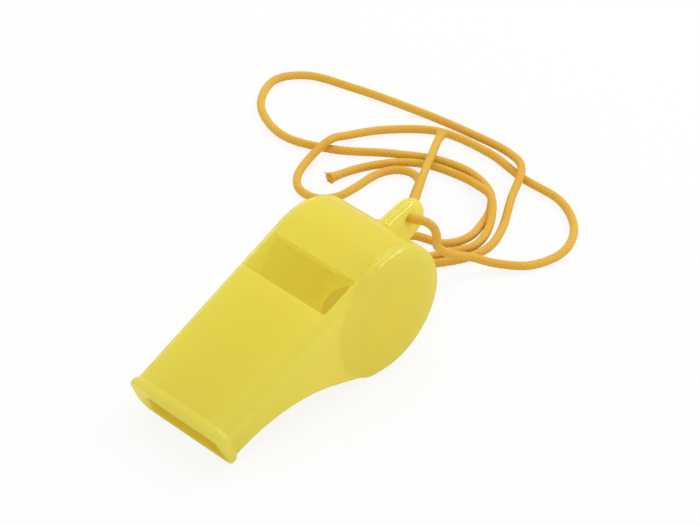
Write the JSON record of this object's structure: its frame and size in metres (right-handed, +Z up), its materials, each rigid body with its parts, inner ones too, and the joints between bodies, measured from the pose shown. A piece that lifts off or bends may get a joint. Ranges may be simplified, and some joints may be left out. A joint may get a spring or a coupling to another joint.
{
  "type": "whistle",
  "caption": "Moulded plastic whistle with a flat mouthpiece, a window in its top, a loose ball in the round chamber and a thin braided cord looped through the lug.",
  "frame": {"origin": "on the surface that the whistle lies on, under the middle of the whistle without its cord", "axes": "+X from the mouth to the lug, +Y to the side away from the end cap, +Z up; the whistle lies on its drum and on the lower edge of its mouth"},
  "size_m": [0.0964, 0.07, 0.0225],
  "materials": {
    "shell_plastic": "moulded yellow polypropylene, smooth with a soft shine",
    "cap_plastic": "moulded yellow polypropylene, smooth with a soft shine, a little deeper in colour at the flat middle",
    "ball_plastic": "pale matt ball, plastic or cork",
    "cord_braid": "braided synthetic cord in golden orange, matt"
  },
  "bodies": {
    "whistle": {"whistle_body": "shell_plastic", "end_cap": "cap_plastic", "lanyard_cord": "cord_braid", "lanyard_tail": "cord_braid"},
    "ball": {"ball": "ball_plastic"}
  },
  "joints": [
    {"name": "ball_orbit", "type": "hinge", "parent": "whistle", "child": "ball", "pos_m": [0.00978, -0.00155, 0.01125], "axis": [0, 1, 0], "continuous": true}
  ]
}
